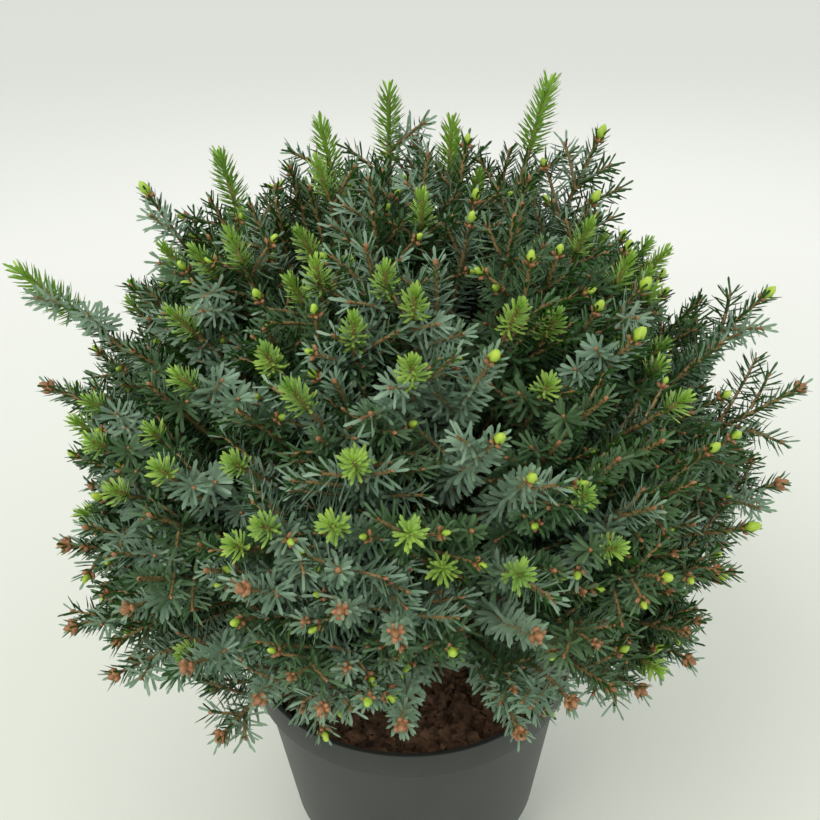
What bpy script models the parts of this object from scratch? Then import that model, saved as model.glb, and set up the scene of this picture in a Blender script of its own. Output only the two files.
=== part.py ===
"""Dwarf Serbian spruce: a broad dome of short shoots, in a round nursery pot.

The plant is one short trunk, boughs that leave it on all sides, and a mass of
foliage at the end of each bough. The masses share the crown out between them.
Each has an axis that starts at the crown's hub, and keeps to the wedge of
directions that lie nearer its own axis than any other. Its shoots are grown by
one rule: their tips lie on a spiral that covers the whole dome evenly, apart
from the leaders, the long shoots that stand out of the dome.

Sizes are in metres. The origin is the middle of the pot's underside, +Z is up,
and the front of the plant faces -Y. Azimuth 0 is the front, and 90 the right.
"""

import math
import random

import bmesh
import bpy
from mathutils import Vector

# Pot: a turned wall with a band round its mouth and a chamfer down to its base
POT_HEIGHT = 0.150
RIM_RADIUS = 0.0950
BAND_RADIUS = 0.0955
BAND_HEIGHT = 0.015
BODY_TOP_RADIUS = 0.0908
BREAK_RADIUS = 0.0773
BREAK_HEIGHT = 0.037
BASE_RADIUS = 0.0640
BAND_STEP = 0.0015
LIP_WIDTH = 0.0030
WALL = 0.0016
FLOOR = 0.0020
POT_SIDES = 36

# Potting mix: fills the pot, with a flat place for the trunk to stand on
SOIL_TOP = 0.138
SOIL_BUMP = 0.0030
LANDING_RADIUS = 0.022

# Trunk: a root flare, a taper, and a slight lean towards the back
TRUNK_TIP_Z = 0.272
TRUNK_FOOT_Y = 0.006
TRUNK_TIP_Y = 0.018
FLARE_RADIUS = 0.0165
FLARE_HEIGHT = 0.014
TRUNK_RADIUS = 0.0100
TRUNK_TIP_RADIUS = 0.0036
TRUNK_SIDES = 12

# Boughs
BOUGH_RADIUS = 0.0034
BOUGH_TIP_RADIUS = 0.0025
BOUGH_SIDES = 5
BOUGH_RINGS = 4
BOUGH_END = 0.31

# Crown: a dome of revolution, with unlike curves above and below its waist
HUB = Vector((0.0, 0.012, 0.200))
CROWN_Y = 0.020
CROWN_RADIUS = 0.186
WAIST_Z = 0.262
CROWN_RISE = 0.174
CROWN_DROP = 0.115
RISE_POWER = 1.85
DROP_POWER = 2.1
HEM_ELEVATION = -15.0

# The mass on the trunk's tip, then the rings of masses round it: name, elevation in
# degrees, how many, azimuth of the first, shoots on each, lowest and highest place on
# the trunk where their boughs start, and how many places on the next bough in the
# ring is, so that neighbours don't start side by side
TOP_MASS = "crown"
RINGS = (
    ("upper", 61.0, 5, -88.0, 9, 0.234, 0.254, 2),
    ("middle", 31.0, 8, 80.0, 8, 0.188, 0.224, 3),
    ("skirt", 2.0, 9, 10.0, 8, 0.157, 0.175, 4),
)

# Leaders: azimuth and elevation in degrees, and reach from the hub
LEADERS = {
    "left arm": (-85.0, 45.0, 0.262),
    "left shoulder": (-98.0, 59.0, 0.248),
    "left crest": (-109.0, 67.0, 0.246),
    "crown left": (-134.0, 77.0, 0.246),
    "crown middle": (-172.0, 82.0, 0.258),
    "crown small": (148.0, 78.0, 0.243),
    "crown right": (112.0, 73.0, 0.271),
    "right crest": (106.0, 66.0, 0.255),
    "right wing": (86.0, 42.0, 0.242),
    "right arm": (79.0, 32.0, 0.234),
    "right elbow": (72.0, 23.0, 0.210),
    "left wing": (-80.0, 36.0, 0.222),
    "left hip": (-62.0, 22.0, 0.198),
    "left foot": (-58.0, 11.0, 0.194),
    "right foot": (47.0, 8.0, 0.178),
}

# Foliage: depths are shares of the reach of the dome along the same direction
SEED = 11
TOP_TIPS = 8
TIP_SPREAD = 0.86
TIP_JITTER = 1.5
TIP_REACH = (0.96, 1.03)
CORE_BANDS = ((0.35, 0.30), (0.47, 0.82), (0.57, 0.80))
CORE_APEX = 0.63
CORE_SIDES = 8
WIDEST_HALF_ANGLE = 26.0
STEM_RADIUS = 0.0025
STEM_END = 0.44
TWIG_ROOT = 0.50
TWIG_BARE = 0.62
TWIG_GATHER = 0.22
TWIG_RADIUS = 0.0026
TWIG_TIP_RADIUS = 0.0014
NEEDLE_LENGTH = 0.0185
FIRST_NEEDLE = 0.60
NEEDLE_SLANT = 54.0
NEEDLE_STEP = 0.0185
TWIST = 38.0

CLEARANCE = 0.0003
CELL_GAP = 0.0010
POT_GAP = 0.0040
GOLDEN_ANGLE = 180.0 * (3.0 - math.sqrt(5.0))


def clear_scene():
    for thing in list(bpy.data.objects):
        bpy.data.objects.remove(thing, do_unlink=True)


def make_material(name, color, roughness):
    material = bpy.data.materials.new(name)
    material.use_nodes = True
    shader = material.node_tree.nodes["Principled BSDF"]
    shader.inputs["Base Color"].default_value = (*color, 1.0)
    shader.inputs["Roughness"].default_value = roughness
    shader.inputs["Metallic"].default_value = 0.0
    material.diffuse_color = (*color, 1.0)
    return material


def finish_object(name, mesh_builder, material, collection=None):
    """Turn a bmesh into an object with its faces pointing outwards."""
    bmesh.ops.recalc_face_normals(mesh_builder, faces=mesh_builder.faces)
    mesh = bpy.data.meshes.new(name)
    mesh_builder.to_mesh(mesh)
    mesh_builder.free()
    mesh.materials.append(material)
    thing = bpy.data.objects.new(name, mesh)
    (collection or bpy.context.scene.collection).objects.link(thing)
    return thing


def join_rings(builder, rings):
    """Side faces between rings of equal size, from the first to the last."""
    faces = []
    for lower, upper in zip(rings, rings[1:]):
        count = len(lower)
        for i in range(count):
            j = (i + 1) % count
            faces.append(builder.faces.new((lower[i], lower[j], upper[j], upper[i])))
    return faces


def aim(azimuth, elevation):
    """Unit vector for an azimuth and an elevation in degrees."""
    turn = math.radians(azimuth)
    rise = math.radians(elevation)
    flat = math.cos(rise)
    return Vector((math.sin(turn) * flat, -math.cos(turn) * flat, math.sin(rise)))


def side_frame(direction):
    """Two unit vectors square to a direction and to each other."""
    helper = Vector((0, 0, 1)) if abs(direction.z) < 0.9 else Vector((0, -1, 0))
    across = direction.cross(helper).normalized()
    return across, direction.cross(across).normalized()


def ring_of_points(centre, across, along, radius, sides, phase=0.0):
    points = []
    for i in range(sides):
        turn = phase + 2.0 * math.pi * i / sides
        points.append(centre + radius * (math.cos(turn) * across + math.sin(turn) * along))
    return points


def inside_dome(point):
    rise = point.z - WAIST_Z
    height = CROWN_RISE if rise > 0 else CROWN_DROP
    power = RISE_POWER if rise > 0 else DROP_POWER
    spread = math.hypot(point.x, point.y - CROWN_Y) / CROWN_RADIUS
    return spread**power + (abs(rise) / height) ** power < 1.0


def dome_reach(direction):
    """Distance from the hub to the dome along a direction, found by halving."""
    near = 0.0
    far = CROWN_RADIUS + CROWN_RISE
    for _ in range(24):
        middle = (near + far) / 2
        if inside_dome(HUB + direction * middle):
            near = middle
        else:
            far = middle
    return near


def mass_axes():
    """Name and axis of every mass, ring by ring from the top down."""
    axes = {TOP_MASS: Vector((0, 0, 1))}
    for ring, elevation, count, first, _, _, _, _ in RINGS:
        for i in range(count):
            axes[f"{ring}_{i + 1}"] = aim(first + 360.0 * i / count, elevation)
    return axes


def bough_starts():
    """Height on the trunk where the bough of each mass starts."""
    starts = {}
    for ring, _, count, _, _, lowest, highest, stride in RINGS:
        for i in range(count):
            place = (i * stride) % count
            starts[f"{ring}_{i + 1}"] = lowest + (highest - lowest) * place / (count - 1)
    return starts


def nearest_mass(axes, direction):
    return max(axes, key=lambda name: axes[name].dot(direction))


def keeps_to_cell(axes, name, point, gap=CELL_GAP):
    """True where a point is in the wedge of its own mass, and clear of the pot."""
    offset = point - HUB
    own = axes[name]
    for other, axis in axes.items():
        if other != name and offset.dot((own - axis).normalized()) < gap:
            return False
    over_pot = math.hypot(point.x, point.y) < BAND_RADIUS + POT_GAP
    return not (over_pot and point.z < POT_HEIGHT + POT_GAP)


def wedge_half_angle(axes, name, tilt):
    """How far the wedge opens from its axis on one side, in radians."""
    axis = axes[name]
    lowest = math.sin(math.radians(HEM_ELEVATION))
    half = 0.0
    step = math.radians(0.5)
    while half + step < math.radians(WIDEST_HALF_ANGLE):
        direction = axis * math.cos(half + step) + tilt * math.sin(half + step)
        if nearest_mass(axes, direction) != name or direction.z < lowest:
            break
        half += step
    return half


def shoots_on(name):
    """How many shoots a mass has."""
    for ring in RINGS:
        if name.startswith(ring[0]):
            return ring[4]
    return TOP_TIPS


def shoot_tips(axes, name):
    """Tips of a mass's shoots, as offsets from the hub.

    They lie on a golden spiral that is stretched to fill the wedge. Then each
    leader in the wedge takes the place of the shoot that is nearest to it.
    """
    rng = random.Random(f"{SEED} tips {name}")
    axis = axes[name]
    across, along = side_frame(axis)
    count = shoots_on(name)
    start = rng.uniform(0, 360.0)
    tips = []
    for i in range(count):
        turn = math.radians(start + GOLDEN_ANGLE * i + rng.uniform(-TIP_JITTER, TIP_JITTER))
        tilt = across * math.cos(turn) + along * math.sin(turn)
        half = wedge_half_angle(axes, name, tilt) * TIP_SPREAD
        half *= math.sqrt((i + 0.5) / (count - 0.5))
        direction = axis * math.cos(half) + tilt * math.sin(half)
        tips.append(direction * dome_reach(direction) * rng.uniform(*TIP_REACH))
    free = list(range(count))
    for azimuth, elevation, reach in LEADERS.values():
        wanted = aim(azimuth, elevation)
        if nearest_mass(axes, wanted) == name:
            nearest = max(free, key=lambda i: tips[i].normalized().dot(wanted))
            free.remove(nearest)
            while not keeps_to_cell(axes, name, HUB + wanted * reach):
                wanted = wanted.lerp(axis, 0.05).normalized()
            tips[nearest] = wanted * reach
    return tips


def build_pot(material):
    """The pot's wall and floor, turned in one closed profile."""
    top = POT_HEIGHT
    shoulder = POT_HEIGHT - BAND_HEIGHT
    outer = (
        (BASE_RADIUS, 0.0),
        (BREAK_RADIUS, BREAK_HEIGHT),
        (BODY_TOP_RADIUS, shoulder - BAND_STEP),
        (BAND_RADIUS, shoulder),
        (RIM_RADIUS, top),
        (RIM_RADIUS - LIP_WIDTH, top),
    )
    profile = list(outer) + [point for point in inner_profile(0.0)]
    builder = bmesh.new()
    rings = []
    for radius, height in profile:
        circle = ring_of_points(
            Vector((0, 0, height)), Vector((1, 0, 0)), Vector((0, 1, 0)), radius, POT_SIDES
        )
        rings.append([builder.verts.new(point) for point in circle])
    join_rings(builder, rings)
    builder.faces.new(rings[0])
    builder.faces.new(rings[-1])
    thing = finish_object("pot", builder, material)
    thing.data.shade_smooth()
    thing.data.set_sharp_from_angle(angle=math.radians(25))
    return thing


def inner_profile(gap):
    """Radius and height down the inside of the pot's wall, kept clear by a gap."""
    shoulder = POT_HEIGHT - BAND_HEIGHT
    slope = (BODY_TOP_RADIUS - BREAK_RADIUS) / (shoulder - BREAK_HEIGHT)
    foot = BASE_RADIUS + (BREAK_RADIUS - BASE_RADIUS) * (FLOOR + gap) / BREAK_HEIGHT
    return (
        (BODY_TOP_RADIUS - WALL - gap, shoulder - BAND_STEP),
        (BREAK_RADIUS - WALL - gap, BREAK_HEIGHT + slope * WALL),
        (foot - WALL - gap, FLOOR + gap),
    )


def build_soil(material):
    """The potting mix, lumpy on top, flat where the trunk stands."""
    rng = random.Random(SEED)
    builder = bmesh.new()
    across = Vector((1, 0, 0))
    along = Vector((0, 1, 0))
    wall_radius = inner_profile(CLEARANCE)[0][0]
    rings = []
    for share in (0.0, 0.45, 1.0):
        radius = LANDING_RADIUS + (wall_radius - LANDING_RADIUS) * share
        middle = Vector((0, TRUNK_FOOT_Y * (1.0 - share), SOIL_TOP))
        circle = ring_of_points(middle, across, along, radius, POT_SIDES)
        bump = SOIL_BUMP if 0.0 < share < 1.0 else 0.0
        rings.append([builder.verts.new(p + Vector((0, 0, rng.uniform(-bump, bump)))) for p in circle])
    for radius, height in inner_profile(CLEARANCE):
        if height < SOIL_TOP:
            circle = ring_of_points(Vector((0, 0, height)), across, along, radius, POT_SIDES)
            rings.append([builder.verts.new(point) for point in circle])
    join_rings(builder, rings)
    builder.faces.new(rings[0])
    builder.faces.new(rings[-1])
    return finish_object("potting_mix", builder, material)


def trunk_centre(height):
    share = (height - SOIL_TOP) / (TRUNK_TIP_Z - SOIL_TOP)
    return Vector((0, TRUNK_FOOT_Y + (TRUNK_TIP_Y - TRUNK_FOOT_Y) * share, height))


def trunk_radius(height):
    """The stem's even taper, with the root flare added at its foot."""
    share = (height - SOIL_TOP) / (TRUNK_TIP_Z - SOIL_TOP)
    taper = TRUNK_RADIUS + (TRUNK_TIP_RADIUS - TRUNK_RADIUS) * share
    above_foot = max(0.0, 1.0 - (height - SOIL_TOP) / FLARE_HEIGHT)
    return taper + (FLARE_RADIUS - TRUNK_RADIUS) * above_foot**2


def build_trunk(material):
    foot = SOIL_TOP + CLEARANCE
    flare = (0.0, 0.3, 0.6, 1.0)
    heights = [foot + FLARE_HEIGHT * share for share in flare]
    bare = 5
    for i in range(1, bare + 1):
        heights.append(heights[3] + (TRUNK_TIP_Z - heights[3]) * i / bare)
    builder = bmesh.new()
    rings = []
    for height in heights:
        circle = ring_of_points(
            trunk_centre(height),
            Vector((1, 0, 0)),
            Vector((0, 1, 0)),
            trunk_radius(height),
            TRUNK_SIDES,
        )
        rings.append([builder.verts.new(point) for point in circle])
    join_rings(builder, rings)
    builder.faces.new(rings[0])
    builder.faces.new(rings[-1])
    return finish_object("trunk", builder, material)


def bough_end(axis):
    return HUB + axis * dome_reach(axis) * BOUGH_END


def build_bough(name, axis, start_z, material):
    """One tapering limb that leaves the trunk level and bends up to its mass."""
    outward = Vector((axis.x, axis.y, 0)).normalized()
    start = trunk_centre(start_z) + outward * (trunk_radius(start_z) + CLEARANCE)
    end = bough_end(axis)
    pull = (end - start).length * 0.4
    level = Vector((-outward.y, outward.x, 0))
    builder = bmesh.new()
    rings = []
    for i in range(BOUGH_RINGS):
        share = i / (BOUGH_RINGS - 1)
        first = start.lerp(start + outward * pull, share)
        second = (start + outward * pull).lerp(end - axis * pull, share)
        third = (end - axis * pull).lerp(end, share)
        low = first.lerp(second, share)
        high = second.lerp(third, share)
        heading = (high - low).normalized()
        radius = BOUGH_RADIUS + (BOUGH_TIP_RADIUS - BOUGH_RADIUS) * share
        circle = ring_of_points(
            low.lerp(high, share), level, heading.cross(level), radius, BOUGH_SIDES
        )
        rings.append([builder.verts.new(point) for point in circle])
    join_rings(builder, rings)
    builder.faces.new(rings[0])
    builder.faces.new(rings[-1])
    return finish_object(name, builder, material)


def build_core(axes, name, material):
    """The shaded middle of a mass, where its old twigs are too close to tell."""
    axis = axes[name]
    across, along = side_frame(axis)
    builder = bmesh.new()
    rings = []
    for depth, width in CORE_BANDS:
        ring = []
        for i in range(CORE_SIDES):
            turn = 2.0 * math.pi * i / CORE_SIDES
            tilt = across * math.cos(turn) + along * math.sin(turn)
            half = wedge_half_angle(axes, name, tilt) * width
            point = HUB
            while half > 0:
                direction = axis * math.cos(half) + tilt * math.sin(half)
                point = HUB + direction * dome_reach(direction) * depth
                if keeps_to_cell(axes, name, point, 3 * CELL_GAP):
                    break
                half -= math.radians(0.5)
            ring.append(builder.verts.new(point))
        rings.append(ring)
    sides = join_rings(builder, rings)
    builder.faces.new(rings[0])
    apex = builder.verts.new(HUB + axis * dome_reach(axis) * CORE_APEX)
    for i in range(CORE_SIDES):
        builder.faces.new((rings[-1][i], rings[-1][(i + 1) % CORE_SIDES], apex))
    bmesh.ops.triangulate(builder, faces=sides)
    return finish_object(name, builder, material)


def build_stem(axis, root, end, material, collection):
    """The short bare stem that carries a mass on from the tip of its bough."""
    across, along = side_frame(axis)
    builder = bmesh.new()
    rings = []
    for centre in (root, end):
        circle = ring_of_points(centre, across, along, STEM_RADIUS, BOUGH_SIDES)
        rings.append([builder.verts.new(point) for point in circle])
    join_rings(builder, rings)
    builder.faces.new(rings[0])
    builder.faces.new(rings[-1])
    return finish_object("stem", builder, material, collection)


def build_spray(axes, name, root, tip, bare, phase, material, collection):
    """A twig with three sides, bare at its root, then set with slanting needles.

    A needle that would leave the wedge of the mass is left off.
    """
    heading = (tip - root).normalized()
    length = (tip - root).length
    across, along = side_frame(heading)
    count = max(2, round((length - bare) / NEEDLE_STEP))
    stations = [0.0, bare]
    for i in range(1, count + 1):
        stations.append(bare + (length - bare) * 0.90 * i / count)
    builder = bmesh.new()
    rings = []
    for i, station in enumerate(stations):
        share = station / length
        radius = TWIG_RADIUS + (TWIG_TIP_RADIUS - TWIG_RADIUS) * share
        circle = ring_of_points(
            root + heading * station, across, along, radius, 3, phase + math.radians(TWIST) * i
        )
        rings.append([builder.verts.new(point) for point in circle])
    faces = join_rings(builder, rings)
    builder.faces.new(rings[0])
    end = builder.verts.new(tip)
    for i in range(3):
        builder.faces.new((rings[-1][i], rings[-1][(i + 1) % 3], end))
    slant = math.radians(NEEDLE_SLANT)
    for i, face in enumerate(faces[3:]):
        grown = FIRST_NEEDLE + (1.0 - FIRST_NEEDLE) * (i // 3) / (count - 1)
        middle = face.calc_center_median()
        outward = middle - root
        outward = (outward - heading * outward.dot(heading)).normalized()
        needle = outward * math.sin(slant) + heading * math.cos(slant)
        apex = middle + needle * NEEDLE_LENGTH * grown
        if keeps_to_cell(axes, name, apex):
            poked = bmesh.ops.poke(builder, faces=[face])
            poked["verts"][0].co = apex
    bmesh.ops.triangulate(builder, faces=[f for f in builder.faces if len(f.verts) > 3])
    return finish_object("spray", builder, material, collection)


def keep_outer_skin(thing):
    """Drop sealed hollows and loose scraps, so that one closed skin is left."""
    builder = bmesh.new()
    builder.from_mesh(thing.data)
    unseen = set(builder.faces)
    skins = []
    while unseen:
        front = [unseen.pop()]
        skin = list(front)
        while front:
            face = front.pop()
            for edge in face.edges:
                for other in edge.link_faces:
                    if other in unseen:
                        unseen.remove(other)
                        front.append(other)
                        skin.append(other)
        skins.append(skin)
    skins.sort(key=len)
    for skin in skins[:-1]:
        bmesh.ops.delete(builder, geom=skin, context="FACES")
    builder.to_mesh(thing.data)
    builder.free()


def build_mass(axes, name, material):
    """A core, its stem and its sprays, joined by one Boolean union."""
    rng = random.Random(f"{SEED} turns {name}")
    axis = axes[name]
    thing = build_core(axes, name, material)
    thing.name = f"foliage_{name}"
    parts = bpy.data.collections.new("parts")
    stem_root = (TRUNK_TOP if name == TOP_MASS else bough_end(axis)) + axis * CLEARANCE
    stem_end = HUB + axis * dome_reach(axis) * STEM_END
    build_stem(axis, stem_root, stem_end, material, parts)
    for tip in shoot_tips(axes, name):
        direction = tip.normalized()
        reach = dome_reach(direction)
        inner = direction.lerp(axis, TWIG_GATHER).normalized()
        root = HUB + inner * reach * TWIG_ROOT
        bare = reach * (TWIG_BARE - TWIG_ROOT)
        end = HUB + tip
        if keeps_to_cell(axes, name, end):
            turn = rng.uniform(0, 2 * math.pi)
            build_spray(axes, name, root, end, bare, turn, material, parts)
    join = thing.modifiers.new("join", "BOOLEAN")
    join.operation = "UNION"
    join.operand_type = "COLLECTION"
    join.solver = "EXACT"
    join.collection = parts
    depsgraph = bpy.context.evaluated_depsgraph_get()
    joined = bpy.data.meshes.new_from_object(thing.evaluated_get(depsgraph))
    thing.modifiers.remove(join)
    thing.data = joined
    for part in list(parts.objects):
        bpy.data.objects.remove(part, do_unlink=True)
    bpy.data.collections.remove(parts)
    keep_outer_skin(thing)
    return thing


TRUNK_TOP = trunk_centre(TRUNK_TIP_Z)


def main():
    clear_scene()
    plastic = make_material("pot plastic", (0.030, 0.034, 0.032), 0.55)
    mix = make_material("potting mix", (0.060, 0.036, 0.022), 0.95)
    bark = make_material("bark", (0.150, 0.085, 0.050), 0.90)
    build_pot(plastic)
    build_soil(mix)
    build_trunk(bark)
    axes = mass_axes()
    for name, start_z in bough_starts().items():
        build_bough(f"bough_{name}", axes[name], start_z, bark)
    for i, name in enumerate(axes):
        green = 0.075 + 0.020 * (i % 3)
        needles = make_material(f"needles {name}", (0.030, green, 0.030), 0.60)
        build_mass(axes, name, needles)


main()
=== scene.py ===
# %% [markdown]
# # A dwarf Serbian spruce in a nursery pot
# The plant is a dome of short shoots. Each shoot is a thin orange-brown twig with flat
# needles set round it on a spiral: dark green outside, silvery blue on the face that looks
# along the shoot. We load the solid model first, because every piece here has to sit where
# that model says, and keep its box so that we can compare sizes at the end.

# %% Load the frame
import math
import random
from collections import namedtuple

import bmesh
import bpy
import numpy as np
from mathutils import Matrix, Vector, noise


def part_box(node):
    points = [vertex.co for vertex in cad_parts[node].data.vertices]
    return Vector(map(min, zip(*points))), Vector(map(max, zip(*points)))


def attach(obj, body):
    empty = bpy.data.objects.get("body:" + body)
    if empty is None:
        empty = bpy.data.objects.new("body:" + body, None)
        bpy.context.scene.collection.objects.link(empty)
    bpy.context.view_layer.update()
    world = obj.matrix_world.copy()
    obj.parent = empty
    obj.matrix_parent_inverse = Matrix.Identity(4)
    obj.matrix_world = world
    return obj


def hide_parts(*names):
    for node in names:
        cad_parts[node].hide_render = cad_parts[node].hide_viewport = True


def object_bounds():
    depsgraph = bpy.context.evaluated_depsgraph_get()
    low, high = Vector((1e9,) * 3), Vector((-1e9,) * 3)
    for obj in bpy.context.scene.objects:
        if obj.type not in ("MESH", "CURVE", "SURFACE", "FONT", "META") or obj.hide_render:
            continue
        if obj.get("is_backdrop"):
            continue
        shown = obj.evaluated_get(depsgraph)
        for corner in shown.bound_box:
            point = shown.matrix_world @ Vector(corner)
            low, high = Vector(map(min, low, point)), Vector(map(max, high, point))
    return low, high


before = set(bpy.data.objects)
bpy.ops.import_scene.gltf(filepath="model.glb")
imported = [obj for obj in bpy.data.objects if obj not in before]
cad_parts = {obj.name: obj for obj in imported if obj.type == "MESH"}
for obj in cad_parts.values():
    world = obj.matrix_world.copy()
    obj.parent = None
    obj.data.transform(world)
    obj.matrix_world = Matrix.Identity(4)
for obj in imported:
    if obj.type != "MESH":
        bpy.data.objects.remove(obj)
CAD_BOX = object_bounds()
print("solid model:", len(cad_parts), "nodes, top at", round(CAD_BOX[1].z, 3), "m")

# %% [markdown]
# ## Camera
# The photo looks down on the plant from in front. Its height, distance and slope were
# worked out from the ellipse of the pot's rim. A camera's axes are the columns of its
# rotation, so we build them from pitch, yaw and roll instead of guessing Euler angles.

# %% Place the camera
PHOTO_WIDTH = 820
FOCAL_PIXELS = 957
SENSOR_WIDTH = 36.0
CAMERA_PLACE = Vector((0.0, -0.446, 0.542))
PITCH = math.radians(28.22)
YAW = math.radians(0.25)
ROLL = math.radians(-1.23)


def camera_axes():
    """The camera's own x, y and z axes. It looks along minus z."""
    ahead = Vector((math.sin(YAW) * math.cos(PITCH), math.cos(YAW) * math.cos(PITCH), -math.sin(PITCH)))
    level = Vector((math.cos(YAW), -math.sin(YAW), 0.0))
    upright = level.cross(ahead)
    side = level * math.cos(ROLL) + upright * math.sin(ROLL)
    top = upright * math.cos(ROLL) - level * math.sin(ROLL)
    return side, top, -ahead


camera_data = bpy.data.cameras.new("camera")
camera_data.sensor_width = SENSOR_WIDTH
camera_data.lens = FOCAL_PIXELS / PHOTO_WIDTH * SENSOR_WIDTH
camera = bpy.data.objects.new("camera", camera_data)
camera.matrix_world = Matrix.Translation(CAMERA_PLACE) @ Matrix(camera_axes()).transposed().to_4x4()
bpy.context.scene.collection.objects.link(camera)
bpy.context.scene.camera = camera
print("lens", round(camera_data.lens, 1), "mm")

# %% [markdown]
# ## Light
# The light is soft and comes mostly from the upper left, as from a wide window. A large area
# light does that work, a second one fills the shadows, a third one lifts the far side, and a
# pale world lights the rest. The Standard view shows the colours just as we mix them.

# %% Light
SKY_COLOR = (0.95, 0.97, 0.93)
SKY_STRENGTH = 0.78
LIT_POINT = Vector((0, 0, 0.25))
# place, width in metres, power in watts and colour of each lamp
LIGHTS = {
    "window": ((-0.9, -1.1, 1.9), 1.2, 17.0, (1.0, 0.99, 0.96)),
    "fill": ((1.5, -0.9, 1.2), 1.4, 3.0, (0.97, 1.0, 1.0)),
    "behind": ((0.3, 1.6, 1.7), 1.4, 5.0, (1.0, 1.0, 0.97)),
}


def add_lamp(name, place, size, power, color):
    """A round area light that points at the middle of the plant."""
    data = bpy.data.lights.new(name, "AREA")
    data.shape = "DISK"
    data.size = size
    data.energy = power
    data.color = color
    lamp = bpy.data.objects.new(name, data)
    lamp.location = place
    lamp.rotation_euler = (LIT_POINT - Vector(place)).to_track_quat("-Z", "Y").to_euler()
    bpy.context.scene.collection.objects.link(lamp)


for lamp_name, lamp_values in LIGHTS.items():
    add_lamp(lamp_name, *lamp_values)
world = bpy.data.worlds.new("pale room")
world.use_nodes = True
sky = world.node_tree.nodes["Background"]
sky.inputs["Color"].default_value = (*SKY_COLOR, 1.0)
sky.inputs["Strength"].default_value = SKY_STRENGTH
bpy.context.scene.world = world
bpy.context.scene.view_settings.view_transform = "Standard"
print("lamps:", ", ".join(LIGHTS))

# %% [markdown]
# ## Floor
# The pot stands on a plain pale floor. A curved sheet behind it would hide where the floor
# ends, but a floor that is wide enough does the same for every camera round the plant. It
# gets a little paler with distance. That is painted light, so that the background stays light far from the
# lamps.

# %% Floor
FLOOR_WIDTH = 40.0
FLOOR_ROUGHNESS = 0.7
FLOOR_COLOR = (0.82, 0.84, 0.77)
# painted light: the floor's colour far from the plant is paler, standing in for lamp light that doesn't
# reach so far
FAR_PAINTED_LIGHT_COLOR = (0.97, 0.97, 0.95)
NEAR_DISTANCE = 0.35
FAR_DISTANCE = 1.30


def by_identifier(sockets, identifier):
    """A Mix node has several sockets of one name, but their identifiers differ."""
    return next(socket for socket in sockets if socket.identifier == identifier)


def pale_floor():
    material = bpy.data.materials.new("pale floor")
    material.use_nodes = True
    nodes = material.node_tree.nodes
    link = material.node_tree.links.new
    shader = nodes["Principled BSDF"]
    shader.inputs["Roughness"].default_value = FLOOR_ROUGHNESS
    place = nodes.new("ShaderNodeTexCoord")
    distance = nodes.new("ShaderNodeVectorMath")
    distance.operation = "LENGTH"
    share = nodes.new("ShaderNodeMapRange")
    share.inputs["From Min"].default_value = NEAR_DISTANCE
    share.inputs["From Max"].default_value = FAR_DISTANCE
    # painted light: the floor's own tone is mixed towards the paler far colour with distance from the
    # middle
    tone = nodes.new("ShaderNodeMix")
    tone.data_type = "RGBA"
    by_identifier(tone.inputs, "A_Color").default_value = (*FLOOR_COLOR, 1.0)
    by_identifier(tone.inputs, "B_Color").default_value = (*FAR_PAINTED_LIGHT_COLOR, 1.0)
    link(place.outputs["Object"], distance.inputs[0])
    link(distance.outputs["Value"], share.inputs["Value"])
    link(share.outputs["Result"], by_identifier(tone.inputs, "Factor_Float"))
    link(by_identifier(tone.outputs, "Result_Color"), shader.inputs["Base Color"])
    return material


bpy.ops.mesh.primitive_plane_add(size=FLOOR_WIDTH)
floor = bpy.context.object
floor.name = "floor"
floor.data.materials.append(pale_floor())
floor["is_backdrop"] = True
print("floor is", round(floor.dimensions.x), "m wide")

# %% [markdown]
# ## Materials
# One helper makes a Principled material whose colour wanders a little between two near
# tones, because nothing that grows or is moulded has one flat colour. It can add a fine
# bump too. What is the same all over stays on the shader's own sockets, so that an
# exporter finds it.

# %% Material helper
TONE_EDGES = (0.35, 0.68)
TONE_DETAIL = 3.0
RELIEF_DETAIL = 4.0
RELIEF_DEPTH = 0.0006


def make_material(name, dark, light, scale, roughness, bump=0.0, bump_scale=0.0):
    """Two tones in patches of a given scale, with a fine relief if one is asked for."""
    material = bpy.data.materials.new(name)
    material.use_nodes = True
    nodes = material.node_tree.nodes
    link = material.node_tree.links.new
    shader = nodes["Principled BSDF"]
    shader.inputs["Roughness"].default_value = roughness
    place = nodes.new("ShaderNodeTexCoord")
    cloud = nodes.new("ShaderNodeTexNoise")
    cloud.inputs["Scale"].default_value = scale
    cloud.inputs["Detail"].default_value = TONE_DETAIL
    ramp = nodes.new("ShaderNodeValToRGB")
    for element, edge, tone in zip(ramp.color_ramp.elements, TONE_EDGES, (dark, light)):
        element.position = edge
        element.color = (*tone, 1.0)
    link(place.outputs["Object"], cloud.inputs["Vector"])
    link(cloud.outputs["Fac"], ramp.inputs["Fac"])
    link(ramp.outputs["Color"], shader.inputs["Base Color"])
    if bump:
        grain = nodes.new("ShaderNodeTexNoise")
        grain.inputs["Scale"].default_value = bump_scale
        grain.inputs["Detail"].default_value = RELIEF_DETAIL
        relief = nodes.new("ShaderNodeBump")
        relief.inputs["Strength"].default_value = bump
        relief.inputs["Distance"].default_value = RELIEF_DEPTH
        link(place.outputs["Object"], grain.inputs["Vector"])
        link(grain.outputs["Fac"], relief.inputs["Height"])
        link(relief.outputs["Normal"], shader.inputs["Normal"])
    return material


print("tones blend between", TONE_EDGES[0], "and", TONE_EDGES[1], "of the noise")

# %% [markdown]
# ## Finishes of the plant and the pot
# The flat face of a needle carries two bands of wax that make it blue-grey. The keeled
# side is a glossier green. New growth is a yellow green, and a bud that is about to open
# is lime. The twigs keep the orange-brown of their first years. Bark, mix and the pot's
# plastic need relief too.

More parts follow.
